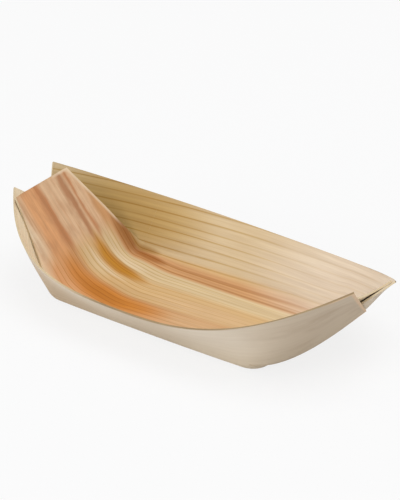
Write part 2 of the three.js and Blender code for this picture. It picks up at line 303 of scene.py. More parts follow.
def wall_point(side, along, share):
    """Side wall, straight from its foot to its top edge."""
    end = end_of(along)
    foot = wall_foot(side, end, abs(along))
    return to_corner(foot + (rim_at(side, end, abs(along)) - foot) * share, side, end)


@lru_cache(maxsize=None)
def slit_edge(side, end):
    """Slit edge of a flap: on in the plane of the wall, then in behind the tab to the low corner."""
    outward = place(math.sin(TAB_ANGLE), 0.0, -math.cos(TAB_ANGLE))
    length = BLANK_HALF_LENGTH - SLIT_START
    start = wall_foot(side, end, SLIT_START)
    forward = unit(start - wall_foot(side, end, SLIT_START - SAMPLE_STEP))
    down = unit(start - rim_at(side, end, SLIT_START))
    lean = (FLOOR_HALF_WIDTH[side] + CREASE_WIDTH - TAB_TOP_HALF_WIDTH[side, end]) / length
    heading = unit(forward + down * lean)
    ear = from_tab_top(FLAP[side, end]["ear"])
    low = from_tab_top(FLAP[side, end]["low"])
    arriving = np.cross(ear - low, outward)
    arriving = -np.sign(arriving[1]) * arriving / np.linalg.norm(arriving)
    leave = start + heading * length * FLAP_START_PULL[side, end] / 3 + outward * FLAP_DIP[side, end]
    return start, leave, low - arriving * length * FLAP_END_PULL / 3, low


def ruled_flap(side, end, along, share):
    """Flap without its swelling: straight lines from its slit edge to its top edge."""
    rim_start = rim_share(side, end, SLIT_START)
    rim = bezier(rim_curve(side, end), rim_start + (1 - rim_start) * along)
    foot = bezier(slit_edge(side, end), along)
    return foot + (rim - foot) * share


def square_to(surface, first, second):
    """Direction square to a surface given by two shares."""
    one = surface(first + SAMPLE_STEP, second) - surface(first - SAMPLE_STEP, second)
    two = surface(first, second + SAMPLE_STEP) - surface(first, second - SAMPLE_STEP)
    return unit(np.cross(one, two))


def flap_point(side, end, along, share):
    """End flap, swelling outward in the middle as it wraps round the corner of the boat."""
    outward = square_to(lambda a, b: ruled_flap(side, end, a, b), along, share)
    outward = outward * (1.0 if outward[0] > 0 else -1.0)
    shape = FLAP[side, end]
    swell = hump(share) * (shape["bulge"] * hump(along) ** 2 + shape["bow"] * along**2)
    spot = ruled_flap(side, end, along, share) + outward * swell
    return to_corner(spot, side, end)


# Meshes

MILLIMETRE = 0.001
INSIDE, OUTSIDE, RIM, END = 0, 1, 2, 3
NO_EDGE = 99.0
ABOVE_BOAT = 60.0
BEND_STEPS = 10
FLOOR_STEPS_ALONG = 80
FLOOR_STEPS_ACROSS = 24
CREASE_STEPS = 12
TAB_BEND_STEPS = 14
TAB_STEPS_ALONG = 36
TAB_STEPS_ACROSS = 48
WALL_STEPS_UP = 20
FLAP_STEPS_ALONG = 56
FLAP_STEPS_UP = 26


def spaced(start, finish, steps):
    """Evenly spaced values from start to finish."""
    return [start + (finish - start) * step / steps for step in range(steps + 1)]


def runs(*lists):
    """Lists joined end to end, with each shared value kept once."""
    joined = list(lists[0])
    for more in lists[1:]:
        joined += more[1:]
    return joined


def grid_normals(grid):
    """Directions square to a grid of points."""
    one = np.gradient(grid, axis=0, edge_order=2)
    two = np.gradient(grid, axis=1, edge_order=2)
    square = np.cross(one, two)
    return square / np.linalg.norm(square, axis=2, keepdims=True)


def facing_in(grid, normals):
    """1 if a grid's normals look to a point above the boat, otherwise -1."""
    middle = grid[grid.shape[0] // 2, grid.shape[1] // 2]
    above = place(0.0, 0.0, ABOVE_BOAT) - middle
    return float(np.sign(normals[grid.shape[0] // 2, grid.shape[1] // 2] @ above))


def edge_cells(columns, rows, free):
    """Kind of cut and two neighbouring grid places, along the free edges in order round the grid."""
    cells = []
    if "low" in free:
        cells += [(free["low"], (c, 0), (c + 1, 0)) for c in range(columns - 1)]
    if "end" in free:
        cells += [(free["end"], (columns - 1, r), (columns - 1, r + 1)) for r in range(rows - 1)]
    if "top" in free:
        cells += [(free["top"], (c + 1, rows - 1), (c, rows - 1)) for c in range(columns - 1)]
    return cells


def skin_faces(columns, rows, inward):
    """Faces of the inner and the outer skin by turns, over a grid whose points are kept twice."""
    count = columns * rows
    faces = []
    for c in range(columns - 1):
        for r in range(rows - 1):
            a, b = c * rows + r, (c + 1) * rows + r
            quad = [a, b, b + 1, a + 1]
            inner = quad if inward > 0 else quad[::-1]
            faces += [inner, [i + count for i in inner[::-1]]]
    return faces


def veneer_mesh(name, surface, blank, firsts, seconds, free):
    """Sheet of veneer with an inner face, an outer face and cut edges.

    Each point keeps its place on the blank and its distance from the nearest free edge.
    """
    grid = np.array([[surface(a, b) for b in seconds] for a in firsts])
    sheet = np.array([[blank(a, b) for b in seconds] for a in firsts])
    normals = grid_normals(grid)
    inward = facing_in(grid, normals)
    columns, rows = grid.shape[:2]
    half = normals * inward * VENEER / 2
    skins = [(grid + half).reshape(-1, 3), (grid - half).reshape(-1, 3)]
    points = skins[0].tolist() + skins[1].tolist()
    places = sheet.reshape(-1, 3).tolist() * 2
    faces = skin_faces(columns, rows, inward)
    kinds = [INSIDE, OUTSIDE] * (len(faces) // 2)
    for kind, *cells in edge_cells(columns, rows, free):
        first = len(points)
        for c, r in cells:
            points += [skins[0][c * rows + r].tolist(), skins[1][c * rows + r].tolist()]
            places += [sheet[c, r].tolist()] * 2
        quad = [first, first + 1, first + 3, first + 2]
        faces.append(quad if inward > 0 else quad[::-1])
        kinds.append(kind)
    return finish_mesh(name, points, places, faces, kinds)


def finish_mesh(name, points, places, faces, kinds):
    """Piece with faces of several kinds. Its points keep the places that its material goes by."""
    mesh = bpy.data.meshes.new(name)
    mesh.from_pydata([[v * MILLIMETRE for v in p] for p in points], [], faces)
    mesh.polygons.foreach_set("material_index", kinds)
    mesh.polygons.foreach_set("use_smooth", [kind in (INSIDE, OUTSIDE) for kind in kinds])
    attribute = mesh.attributes.new("blank", "FLOAT_VECTOR", "POINT")
    attribute.data.foreach_set("vector", [value for spot in places for value in spot])
    mesh.update()
    piece = bpy.data.objects.new(name, mesh)
    bpy.context.scene.collection.objects.link(piece)
    return piece


def along_floor():
    """Places along the sheet between the slits, closer together in the end bends."""
    bend = spaced(FLOOR_HALF_LENGTH, SLIT_START, BEND_STEPS)
    flat = spaced(-FLOOR_HALF_LENGTH, FLOOR_HALF_LENGTH, FLOOR_STEPS_ALONG)
    return runs([-value for value in reversed(bend)], flat, bend)


def floor_mesh():
    near, far = FLOOR_HALF_WIDTH["near"], FLOOR_HALF_WIDTH["far"]
    near_crease = spaced(-near - CREASE_WIDTH, -near, CREASE_STEPS)
    far_crease = spaced(far, far + CREASE_WIDTH, CREASE_STEPS)
    seconds = runs(near_crease, spaced(-near, far, FLOOR_STEPS_ACROSS), far_crease)

    def blank(along, across):
        return along, across, NO_EDGE

    return veneer_mesh("floor", strip_point, blank, along_floor(), seconds, {})


def tab_mesh(end):
    def across(along, share):
        return share * tab_half_width(side_of(share), end, along)

    def surface(along, share):
        drop = TAB_TOP_DROP[side_of(share), end] * slit_share(along) * share**2
        return strip_point((along - drop) * END_SIGN[end], across(along, share))

    def blank(along, share):
        half = abs(across(along, math.copysign(1.0, share)))
        edge = min(BLANK_HALF_LENGTH - along, (1 - abs(share)) * half)
        return along * END_SIGN[end], across(along, share), edge

    bend = FLOOR_HALF_LENGTH + TAB_BEND_RADIUS * TAB_ANGLE
    straight = spaced(bend, BLANK_HALF_LENGTH, TAB_STEPS_ALONG)
    firsts = runs(spaced(SLIT_START, bend, TAB_BEND_STEPS), straight)
    seconds = spaced(-1.0, 1.0, TAB_STEPS_ACROSS)
    free = {"low": END, "end": END, "top": END}
    return veneer_mesh(f"{end}_tab", surface, blank, firsts, seconds, free)


def wall_width(side):
    """Width of a wall at mid length, from its foot to its top edge."""
    return float(np.linalg.norm(rim_at(side, "left", 0.0) - wall_foot(side, "left", 0.0)))


def wall_mesh(side):
    foot = FLOOR_HALF_WIDTH[side] + CREASE_WIDTH
    width = wall_width(side)

    def surface(along, share):
        return wall_point(side, along, share)

    def blank(along, share):
        return along, SIDE_SIGN[side] * (foot + share * width), (1 - share) * width

    seconds = spaced(0.0, 1.0, WALL_STEPS_UP)
    return veneer_mesh(f"{side}_wall", surface, blank, along_floor(), seconds, {"top": RIM})


def flap_mesh(side, end):
    top = FLOOR_HALF_WIDTH[side] + CREASE_WIDTH + wall_width(side)
    length = BLANK_HALF_LENGTH - SLIT_START

    def surface(along, share):
        return flap_point(side, end, along, share)

    def width_at(along):
        top_edge = ruled_flap(side, end, along, 1.0)
        return float(np.linalg.norm(top_edge - ruled_flap(side, end, along, 0.0)))

    def blank(along, share):
        width = width_at(along) * wall_width(side) / width_at(0.0)
        edge = min((1 - along) * length, share * width, (1 - share) * width)
        across = SIDE_SIGN[side] * (top - (1 - share) * width)
        return END_SIGN[end] * (SLIT_START + along * length), across, edge

    free = {"low": END, "end": END, "top": RIM}
    firsts, seconds = spaced(0.0, 1.0, FLAP_STEPS_ALONG), spaced(0.0, 1.0, FLAP_STEPS_UP)
    return veneer_mesh(f"{side}_{end}_flap", surface, blank, firsts, seconds, free)


# Glue spots, as shares of a flap's length and width

GLUE_ALONG = 0.86
GLUE_UP = {
    ("near", "left"): 0.5,
    ("near", "right"): 0.68,
    ("far", "left"): 0.66,
    ("far", "right"): 0.5,
}
GLUE_HALF_ALONG = 0.06
GLUE_HALF_UP = 0.1
GLUE_WAIST = 0.12

# Millimetres left between the glue and the veneer, and the mesh of a spot

GLUE_CLEARANCE = 0.12
GLUE_SECTORS = 32
GLUE_LAYERS = 6


def glue_on_flap(side, end, along, share):
    """Place on a glue spot's end at the flap."""

    def surface(first, second):
        return flap_point(side, end, first, second)

    inward = square_to(surface, along, share)
    inward = -np.sign(inward[0] * END_SIGN[end]) * inward
    return surface(along, share) + inward * (VENEER / 2 + GLUE_CLEARANCE)


def glue_on_tab(spot, end):
    """Place on a glue spot's end at the tab, straight across from one at the flap."""
    radius, slope, begun = tab_bend(spot[1], end)
    start = bend_point(radius, begun, slope)
    uphill = place(math.cos(slope), 0.0, math.sin(slope))
    outward = place(math.sin(slope) * END_SIGN[end], 0.0, -math.cos(slope))
    straight = (place(abs(spot[0]), 0.0, spot[2]) - start) @ uphill
    along = begun + radius * slope + straight
    return strip_point(along * END_SIGN[end], spot[1]) + outward * (VENEER / 2 + GLUE_CLEARANCE)


def glue_points(side, end):
    """Rings of points from a flap to its tab, drawn in a little at the waist."""
    points = []
    for layer in range(GLUE_LAYERS + 1):
        depth = layer / GLUE_LAYERS
        waist = 1.0 - GLUE_WAIST * hump(depth)
        for sector in range(GLUE_SECTORS):
            angle = 2 * math.pi * sector / GLUE_SECTORS
            along = GLUE_ALONG + GLUE_HALF_ALONG * math.cos(angle) * waist
            up = GLUE_UP[side, end] + GLUE_HALF_UP * math.sin(angle) * waist
            spot = glue_on_flap(side, end, along, up)
            points.append(spot + (glue_on_tab(spot, end) - spot) * depth)
    return points


def glue_faces():
    """Faces round the rings of a glue spot and over both of its ends."""
    faces = []
    for layer in range(GLUE_LAYERS):
        first = layer * GLUE_SECTORS
        for sector in range(GLUE_SECTORS):
            a, b = first + sector, first + (sector + 1) % GLUE_SECTORS
            faces.append([a, b, b + GLUE_SECTORS, a + GLUE_SECTORS])
    faces.append(list(range(GLUE_SECTORS))[::-1])
    faces.append([GLUE_LAYERS * GLUE_SECTORS + sector for sector in range(GLUE_SECTORS)])
    return faces


def glue_mesh(side, end):
    """Dried spot of glue between a tab and a flap."""
    points, faces = glue_points(side, end), glue_faces()
    if SIDE_SIGN[side] * END_SIGN[end] > 0:
        faces = [face[::-1] for face in faces]
    return finish_mesh(f"{side}_{end}_glue", points, points, faces, [INSIDE] * len(faces))


# Tones of the wood as screen colours

CREAM = (224, 200, 158)
PALE_CREAM = (246, 228, 198)
TAN = (222, 186, 134)
AMBER = (226, 190, 146)
HEARTWOOD = (214, 164, 114)
ORANGE = (213, 134, 36)
GOLD = (198, 136, 22)
BURNT = (164, 98, 30)
APRICOT = (231, 174, 124)
RUST = (200, 140, 94)
ROSE = (230, 195, 158)
MAUVE = (186, 136, 98)
BROWN = (176, 120, 70)
UMBER = (164, 110, 56)
OLIVE = (194, 160, 92)
OLIVE_BROWN = (164, 120, 56)
SAPWOOD = (219, 197, 160)
PALE = (234, 220, 202)
TAUPE = (220, 208, 190)
GREY_TAUPE = (190, 170, 144)
DRIFTWOOD = (186, 160, 128)
TAUPE_BROWN = (168, 144, 118)
WEATHERED = (150, 128, 96)
CUT_DARK = (128, 108, 78)
CUT_MIDDLE = (176, 152, 116)
CUT_LIGHT = (228, 212, 180)
CUT_DULL = (204, 184, 150)
GLUE_PALE = (236, 225, 198)
GLUE_AMBER = (216, 196, 152)
INSIDE_LINE_TINT = (226, 208, 162)
OUTSIDE_LINE_TINT = (214, 192, 160)

# Inner face across the grain from the near edge to the far edge: millimetres and tone

INSIDE_BANDS = (
    (-60.0, PALE_CREAM),
    (-30.0, PALE_CREAM),
    (-24.0, APRICOT),
    (-9.5, HEARTWOOD),
    (-6.0, TAN),
    (5.0, TAN),
    (9.0, CREAM),
    (15.5, CREAM),
    (17.0, HEARTWOOD),
    (23.5, HEARTWOOD),
    (25.5, TAN),
    (27.5, SAPWOOD),
    (60.0, SAPWOOD),
)

# The left tab shows redder wood across the grain

TAB_BANDS = (
    (-60.0, PALE_CREAM),
    (-26.0, PALE_CREAM),
    (-21.5, ROSE),
    (-18.0, APRICOT),
    (-11.8, APRICOT),
    (-9.8, RUST),
    (-8.0, RUST),
    (-5.8, ROSE),
    (2.0, ROSE),
    (3.8, MAUVE),
    (5.0, MAUVE),
    (6.4, ROSE),
    (7.9, RUST),
    (9.2, ROSE),
    (12.0, ROSE),
    (14.5, HEARTWOOD),
    (60.0, HEARTWOOD),
)

# Late-wood lines across the grain

RING_LINES = (
    -12.0, -9.6, -7.5, -5.4, -2.5, -0.2, 2.1, 5.0, 7.9, 10.4, 12.2,
    14.3, 18.0, 21.2, 26.0, 29.8, 33.5, 37.0, 40.3, 44.0, 48.0, 51.5, 55.0,
)
RING_SPACING = 2.4

# Soft stains on the inner face: tone, strength, middle along and across the grain, half length
# and half width

INSIDE_STAINS = (
    (PALE, 0.9, (66.0, 36.0), (74.0, 30.0)),
    (PALE, 0.5, (80.0, 14.0), (28.0, 16.0)),
    (OLIVE, 0.9, (-62.0, 40.0), (48.0, 20.0)),
    (AMBER, 0.7, (4.0, -3.0), (30.0, 7.0)),
    (AMBER, 0.6, (8.0, -14.0), (26.0, 7.0)),
    (CREAM, 0.7, (-53.0, -3.0), (11.0, 4.5)),
    (PALE_CREAM, 0.5, (-48.0, -0.6), (15.0, 1.5)),
    (PALE_CREAM, 0.5, (-45.0, 10.5), (14.0, 2.5)),
    (ORANGE, 0.95, (-34.0, -14.2), (34.0, 8.0)),
    (BURNT, 0.35, (-38.0, -14.5), (18.0, 4.0)),
    (GOLD, 0.95, (-46.0, 4.6), (21.0, 4.4)),
    (BURNT, 0.45, (-46.0, 6.2), (14.0, 0.9)),
    (BURNT, 0.3, (-44.0, 3.2), (12.0, 0.7)),
)

# Dark streaked wood and painted shade in the rounded corner about the root of the far left slit, and brown
# lines along the far edge of the floor

ROOT_STAINS_AND_SHADE = (
    (HEARTWOOD, 0.5, (-66.0, 17.0), (20.0, 5.0)),
    (UMBER, 0.95, (-57.0, 22.0), (16.0, 6.5)),
    (BURNT, 0.8, (-41.0, 20.7), (11.0, 3.2)),
    (OLIVE_BROWN, 0.8, (-46.0, 25.8), (10.0, 3.2)),
    (BROWN, 0.6, (-4.0, 22.0), (56.0, 1.0)),
    (BROWN, 0.35, (6.0, 19.7), (46.0, 0.7)),
    (BROWN, 0.55, (2.0, 17.6), (62.0, 0.8)),
)

# Greyer and browner stains on the outer face, and its bands

OUTSIDE_STAINS = (
    (GREY_TAUPE, 0.6, (88.0, -40.0), (46.0, 34.0)),
    (GREY_TAUPE, 0.35, (-2.0, -40.0), (32.0, 30.0)),
    (DRIFTWOOD, 0.7, (-60.0, -36.0), (46.0, 22.0)),
)

OUTSIDE_BANDS = (
    (-50.0, TAUPE),
    (0.0, SAPWOOD),
    (50.0, TAUPE),
)

# Grain on the blank in millimetres: the stretches over which its lines lift into the left bend and
# lean along the floor and the far wall, and by how much

GRAIN_HALF_WIDTH = 60.0
GRAIN_BEND = (-26.0, -49.0)
GRAIN_LEAN_START = -25.0
GRAIN_WALL = (22.0, 27.0)
FLOOR_LIFT = 4.2
FLOOR_LIFT_LOSS = 1.6
FLOOR_LIFT_FADE = (8.0, 22.0)
FLOOR_LEAN = 0.075
FLOOR_LEAN_LOSS = 0.04
FLOOR_LEAN_FADE = (5.0, 12.0)
WALL_LEAN = 0.052
WALL_LEAN_LENGTH = 50.0
WALL_CURVE = -0.00055
WALL_CURVE_GROWTH = (27.0, 36.0)
NOISE_MIDDLE = 0.5
GRAIN_WANDER = {"reach": 0.8, "noise": {"stretch": 60.0, "width": 11.0, "detail": 1.0}}

# Late-wood lines: start, darkest place and finish of a line in its ring, how it breaks up, how it
# fades to the right, what is lost on the left tab, and what is left at the near edge and outside

LINE_START = 0.34
LINE_PLACE = 0.5
LINE_FINISH = 0.61
LINE_NOISE = {"stretch": 40.0, "width": 3.0, "detail": 2.0, "shift": 4.0}
LINE_BREAKS = (0.15, 0.5)
LINE_FADE = (30.0, -35.0)
LINE_LEAST = 0.3
TAB_LINES_LOST = 0.9
NEAR_EDGE_FADE = (-27.0, -22.0)
NEAR_EDGE_LINES = 0.3
OUTSIDE_LINES = 0.25

# Fibres: fine and coarse noise, and the shading they give to both faces

FINE_FIBRES = {"stretch": 14.0, "width": 0.35, "detail": 4.0, "shift": 9.0}
COARSE_FIBRES = {"stretch": 40.0, "width": 1.6, "detail": 3.0, "shift": 2.0}
INSIDE_FIBRES = {
    "fine_share": 0.5,
    "limits": (0.4, 1.1),
    "dark": (172, 146, 112),
    "light": (255, 255, 252),
    "strength": 0.3,
}
OUTSIDE_FIBRES = {
    "fine_share": 0.4,
    "limits": (0.3, 1.1),
    "dark": (190, 176, 156),
    "light": (255, 255, 253),
    "strength": 0.14,
}

# Left tab: limits of its redder wood, with a ragged start, and the streaks and clouds on it

TAB_START = (-52.0, -62.0)
TAB_RAGGED = 9.0
TAB_RAGGED_NOISE = {"stretch": 12.0, "width": 2.2, "detail": 2.0, "shift": 3.0}
TAB_FAR_EDGE = (27.0, 21.0)
TAB_NEAR_EDGE = (-29.0, -25.0)
TAB_WANDER = {"reach": 5.0, "noise": {"stretch": 13.0, "width": 7.0, "detail": 3.0, "shift": 8.0}}
TAB_STREAKS = {
    "noise": {"stretch": 18.0, "width": 1.5, "detail": 5.0, "shift": 6.0},
    "limits": (0.46, 0.74),
    "strength": 0.38,
    "tone": RUST,
}
TAB_CLOUDS = {
    "noise": {"stretch": 8.0, "width": 4.0, "detail": 5.0, "shift": 15.0},
    "limits": (0.4, 0.72),
    "strength": 0.38,
    "tone": MAUVE,
}

# Outer face: clouds all over it, and patches that grow towards the right end

OUTSIDE_CLOUDS = {
    "noise": {"stretch": 45.0, "width": 16.0, "detail": 2.0, "shift": 12.0},
    "limits": (0.35, 0.7),
    "strength": 0.25,
    "tone": GREY_TAUPE,
}
OUTSIDE_PATCHES = {
    "noise": {"stretch": 14.0, "width": 6.0, "detail": 4.0, "shift": 21.0},
    "limits": (0.42, 0.7),
    "tone": TAUPE_BROWN,
}
PATCHES_GROWTH = (40.0, 75.0)
PATCHES_STRENGTH = 0.35

# Edges: a painted highlight along the far edges of the left tab, a rosy strip of painted light round the
# right end that lightens the shadowed gap between the tab and its flaps, wear, and where the cut edges
# change tone

TAB_EDGE_HIGHLIGHT = {"width": (1.5, 0.3), "start": (4.0, 9.0), "tone": PALE_CREAM}
TAB_EDGE_HIGHLIGHT_STRENGTH = 0.65
OUTSIDE_END_LIGHT_STRIP = {"width": (1.3, 0.5), "start": (78.0, 86.0), "tone": ROSE, "strength": 0.7}
WEAR_REACH = (1.1, 0.1)
WEAR_PATCHES = (0.35, 0.65)
INSIDE_WEAR = 0.2
OUTSIDE_WEAR = 0.4
CUT_CHANGE = (-10.0, -40.0)

# Dried glue, and the finish of all surfaces

GLUE_CLOUDS = {"stretch": 2.5, "width": 2.5, "detail": 2.0}
GLUE_SKIN = {"stretch": 0.8, "width": 0.8, "detail": 2.0}
INSIDE_FINISH = {"roughness": 0.62, "relief": 0.35}
OUTSIDE_FINISH = {"roughness": 0.66, "relief": 0.35}
CUT_FINISH = {"roughness": 0.75, "relief": 0.5}
GLUE_FINISH = {"roughness": 0.42, "relief": 0.3}
ROUGHNESS_SPREAD = 0.12
SPECULAR_LEVEL = 0.25
RELIEF_DEPTH = 0.00015

# Materials


def linear(red, green, blue):
    """Screen colour from 0 to 255 as the linear colour that shaders take."""
    scaled = [value / 255 for value in (red, green, blue)]
    values = [v / 12.92 if v <= 0.04045 else ((v + 0.055) / 1.055) ** 2.4 for v in scaled]
    return (*values, 1.0)


class Shader:
    """A material's node tree, with short ways to add the nodes that the wood needs."""

    def __init__(self, name):
        self.material = bpy.data.materials.new(name)
        self.material.use_nodes = True
        self.tree = self.material.node_tree
        self.surface = self.tree.nodes["Principled BSDF"]

    def node(self, kind, **settings):
        made = self.tree.nodes.new(kind)
        for key, value in settings.items():
            setattr(made, key, value)
        return made

    def feed(self, socket, value):
        if isinstance(value, bpy.types.NodeSocket):
            self.tree.links.new(value, socket)
        else:
            socket.default_value = value

    def math(self, operation, *values):
        made = self.node("ShaderNodeMath", operation=operation)
        for socket, value in zip(made.inputs, values):
            self.feed(socket, value)
        return made.outputs[0]

    def product(self, first, *others):
        for other in others:
            first = self.math("MULTIPLY", first, other)
        return first

    def ramp(self, value, low, high, smooth=True):
        """0 at low, 1 at high."""
        made = self.node("ShaderNodeMapRange", interpolation_type="SMOOTHSTEP" if smooth else "LINEAR")
        for socket, item in zip(made.inputs, (value, low, high, 0.0, 1.0)):
            self.feed(socket, item)
        return made.outputs[0]

    def mix(self, share, first, second, blend="MIX"):
        made = self.node("ShaderNodeMix", data_type="RGBA", blend_type=blend)
        sockets = (made.inputs[0], made.inputs[6], made.inputs[7])
        for socket, value in zip(sockets, (share, first, second)):
            self.feed(socket, value)
        return made.outputs[2]

    def spot(self, along, across, centre, size):
        """1 at a place on the blank, falling softly to 0 at the given half length and half width."""
        one = self.math("DIVIDE", self.math("SUBTRACT", along, centre[0]), size[0])
        two = self.math("DIVIDE", self.math("SUBTRACT", across, centre[1]), size[1])
        squares = self.math("ADD", self.product(one, one), self.product(two, two))
        return self.ramp(squares, 1.0, 0.0)

    def noise(self, along, across, stretch, width, detail, shift=0.0):
        """Noise of stretch by width millimetres along and across the grain. A shift changes its pattern."""
        vector = self.node("ShaderNodeCombineXYZ")
        self.feed(vector.inputs[0], self.math("DIVIDE", along, stretch))
        self.feed(vector.inputs[1], self.math("DIVIDE", across, width))
        vector.inputs[2].default_value = shift
        made = self.node("ShaderNodeTexNoise")
        self.feed(made.inputs["Vector"], vector.outputs[0])
        made.inputs["Scale"].default_value = 1.0
        made.inputs["Detail"].default_value = detail
        return made.outputs[0]

    def blank(self):
        """Millimetres along and across the flat blank, and from the nearest free edge."""
        place_on_blank = self.node("ShaderNodeAttribute", attribute_name="blank")
        parts = self.node("ShaderNodeSeparateXYZ")
        self.feed(parts.inputs[0], place_on_blank.outputs["Vector"])
        return parts.outputs[0], parts.outputs[1], parts.outputs[2]

    def bands(self, across, stops):
        """Colour ramp across the grain from a list of millimetres and tones."""
        made = self.node("ShaderNodeValToRGB")
        half = stops[-1][0]
        self.feed(made.inputs[0], self.ramp(across, -half, half, smooth=False))
        elements = made.color_ramp.elements
        while len(elements) < len(stops):
            elements.new(0.5)
        for element, (position, tone) in zip(elements, stops):
            element.position = (position + half) / (2 * half)
            element.color = linear(*tone)
        return made.outputs[0]


def wander(shader, along, across, reach, noise):
    """Drift to both sides, by half the reach at most."""
    drift = shader.math("SUBTRACT", shader.noise(along, across, **noise), NOISE_MIDDLE)
    return shader.product(drift, reach)


def lessened(shader, full, loss, across, fade):
    """A value that loses a part of itself over a stretch across the blank."""
    return shader.math("SUBTRACT", full, shader.product(shader.ramp(across, *fade), loss))


def floor_shift(shader, along, across):
    """Shift of the grain on the floor: up into the left bend, and leaning on the way to the right."""
    left = shader.ramp(along, *GRAIN_BEND)
    past = shader.math("MAXIMUM", shader.math("SUBTRACT", along, GRAIN_LEAN_START), 0.0)
    lift = lessened(shader, FLOOR_LIFT, FLOOR_LIFT_LOSS, across, FLOOR_LIFT_FADE)
    lean = lessened(shader, FLOOR_LEAN, FLOOR_LEAN_LOSS, across, FLOOR_LEAN_FADE)
    return shader.math("ADD", shader.product(left, lift), shader.product(past, lean))


def wall_shift(shader, along, across):
    """Shift of the grain on the far wall, where its upper lines bend back."""
    past = shader.math("SUBTRACT", along, GRAIN_LEAN_START)
    past = shader.math("MINIMUM", past, WALL_LEAN_LENGTH)
    curve = shader.product(shader.ramp(across, *WALL_CURVE_GROWTH), WALL_CURVE)
    slope = shader.math("ADD", shader.product(curve, past), WALL_LEAN)
    return shader.product(slope, past)


def grain_place(shader, along, across):
    """Place across the grain: its lines lift into the left bend and lean along floor and wall."""
    wall = shader.ramp(across, *GRAIN_WALL)
    floor = shader.math("SUBTRACT", 1.0, wall)
    on_floor = shader.product(floor_shift(shader, along, across), floor)
    on_wall = shader.product(wall_shift(shader, along, across), wall)
    shifted = shader.math("SUBTRACT", across, shader.math("ADD", on_floor, on_wall))
    return shader.math("ADD", shifted, wander(shader, along, across, **GRAIN_WANDER))


def ring_count(shader, warped):
    """Number of late-wood lines up to a place across the grain, growing evenly between them."""
    made = shader.node("ShaderNodeFloatCurve")
    half = GRAIN_HALF_WIDTH
    before = (RING_LINES[0] + half) / RING_SPACING
    total = before + len(RING_LINES)
    shader.feed(made.inputs["Value"], shader.ramp(warped, -half, half, smooth=False))
    points = made.mapping.curves[0].points
    for order, line in enumerate(RING_LINES):
        points.new((line + half) / (2 * half), (before + order) / total)
    for point in points:
        point.handle_type = "VECTOR"
    made.mapping.update()
    return shader.math("SUBTRACT", shader.product(made.outputs[0], total), before)


def rise_from(shader, least, value, low, high):
    """From a least value at low up to 1 at high."""
    share = shader.ramp(value, low, high)
    return shader.math("ADD", shader.product(share, 1.0 - least), least)


def ring_lines(shader, along, warped):
    """Thin late-wood lines, broken here and there and fainter to the right."""
    place_in_ring = shader.math("FRACT", shader.math("ADD", ring_count(shader, warped), LINE_PLACE))
    before = shader.ramp(place_in_ring, LINE_START, LINE_PLACE)
    after = shader.ramp(place_in_ring, LINE_FINISH, LINE_PLACE)
    line = shader.product(before, after)
    broken = shader.ramp(shader.noise(along, warped, **LINE_NOISE), *LINE_BREAKS)
    bold = rise_from(shader, LINE_LEAST, along, *LINE_FADE)
    return shader.product(broken, bold, line)


def fibres(shader, along, across):
    """Fine and coarse fibres along the grain."""
    return shader.noise(along, across, **FINE_FIBRES), shader.noise(along, across, **COARSE_FIBRES)


def shade_fibres(shader, colour, fine, coarse, fine_share, limits, dark, light, strength):
    """Darker and paler fibres over a colour."""
    mixed = shader.math("ADD", shader.product(fine, fine_share), coarse)
    tint = shader.mix(shader.ramp(mixed, *limits), linear(*dark), linear(*light))
    return shader.mix(strength, colour, tint, "MULTIPLY")


def wear_edges(shader, colour, edge, coarse, strength):
    """Handled edges: a little darker in the last millimetre, in patches."""
    share = shader.product(shader.ramp(edge, *WEAR_REACH), shader.ramp(coarse, *WEAR_PATCHES), strength)
    return shader.mix(share, colour, linear(*WEATHERED))


def edge_painted_light(shader, colour, edge, position, width, start, strength, tone):
    """Strip of painted light in a tone along the free edges, from a position on."""
    share = shader.product(shader.ramp(edge, *width), shader.ramp(position, *start), strength)
    return shader.mix(share, colour, linear(*tone))


def finish_wood(shader, colour, fine, roughness, relief):
    """Colour, roughness and fine relief of a surface."""
    shader.feed(shader.surface.inputs["Base Color"], colour)
    spread = shader.product(fine, ROUGHNESS_SPREAD)
    rough = shader.math("ADD", spread, roughness - ROUGHNESS_SPREAD / 2)
    shader.feed(shader.surface.inputs["Roughness"], rough)
    shader.surface.inputs["Specular IOR Level"].default_value = SPECULAR_LEVEL
    bump = shader.node("ShaderNodeBump")
    bump.inputs["Strength"].default_value = relief
    bump.inputs["Distance"].default_value = RELIEF_DEPTH
    shader.feed(bump.inputs["Height"], fine)
    shader.feed(shader.surface.inputs["Normal"], bump.outputs[0])
    return shader.material


def stain_and_shade(shader, colour, along, across, stains_and_shades):
    """Soft stains, some of them painted shade, laid over a colour in turn."""
    for tone, strength, middle, half in stains_and_shades:
        share = shader.product(shader.spot(along, across, middle, half), strength)
        colour = shader.mix(share, colour, linear(*tone))
    return colour


def blotch(shader, colour, along, across, noise, limits, strength, tone):
    """Patches of a tone where a noise along the grain is strong."""
    patches = shader.ramp(shader.noise(along, across, **noise), *limits)
    return shader.mix(shader.product(patches, strength), colour, linear(*tone))


def redden_tab(shader, colour, along, across, warped):
    """Redder, mottled wood up the left tab, with a ragged start above the bend."""
    ragged = shader.product(shader.noise(along, warped, **TAB_RAGGED_NOISE), TAB_RAGGED)
    above = shader.ramp(shader.math("ADD", along, ragged), *TAB_START)
    share = shader.product(above, shader.ramp(across, *TAB_FAR_EDGE), shader.ramp(warped, *TAB_NEAR_EDGE))
    wandered = shader.math("ADD", warped, wander(shader, along, warped, **TAB_WANDER))
    tone = shader.bands(wandered, TAB_BANDS)
    tone = blotch(shader, tone, along, warped, **TAB_STREAKS)
    tone = blotch(shader, tone, along, warped, **TAB_CLOUDS)
    return shader.mix(share, colour, tone), share


def inside_lines(shader, along, warped, on_tab):
    """Late-wood lines of the inner face, nearly lost on the left tab and faint at the near edge."""
    off_tab = shader.math("SUBTRACT", 1.0, shader.product(on_tab, TAB_LINES_LOST))
    off_near_edge = rise_from(shader, NEAR_EDGE_LINES, warped, *NEAR_EDGE_FADE)
    return shader.product(ring_lines(shader, along, warped), off_tab, off_near_edge)


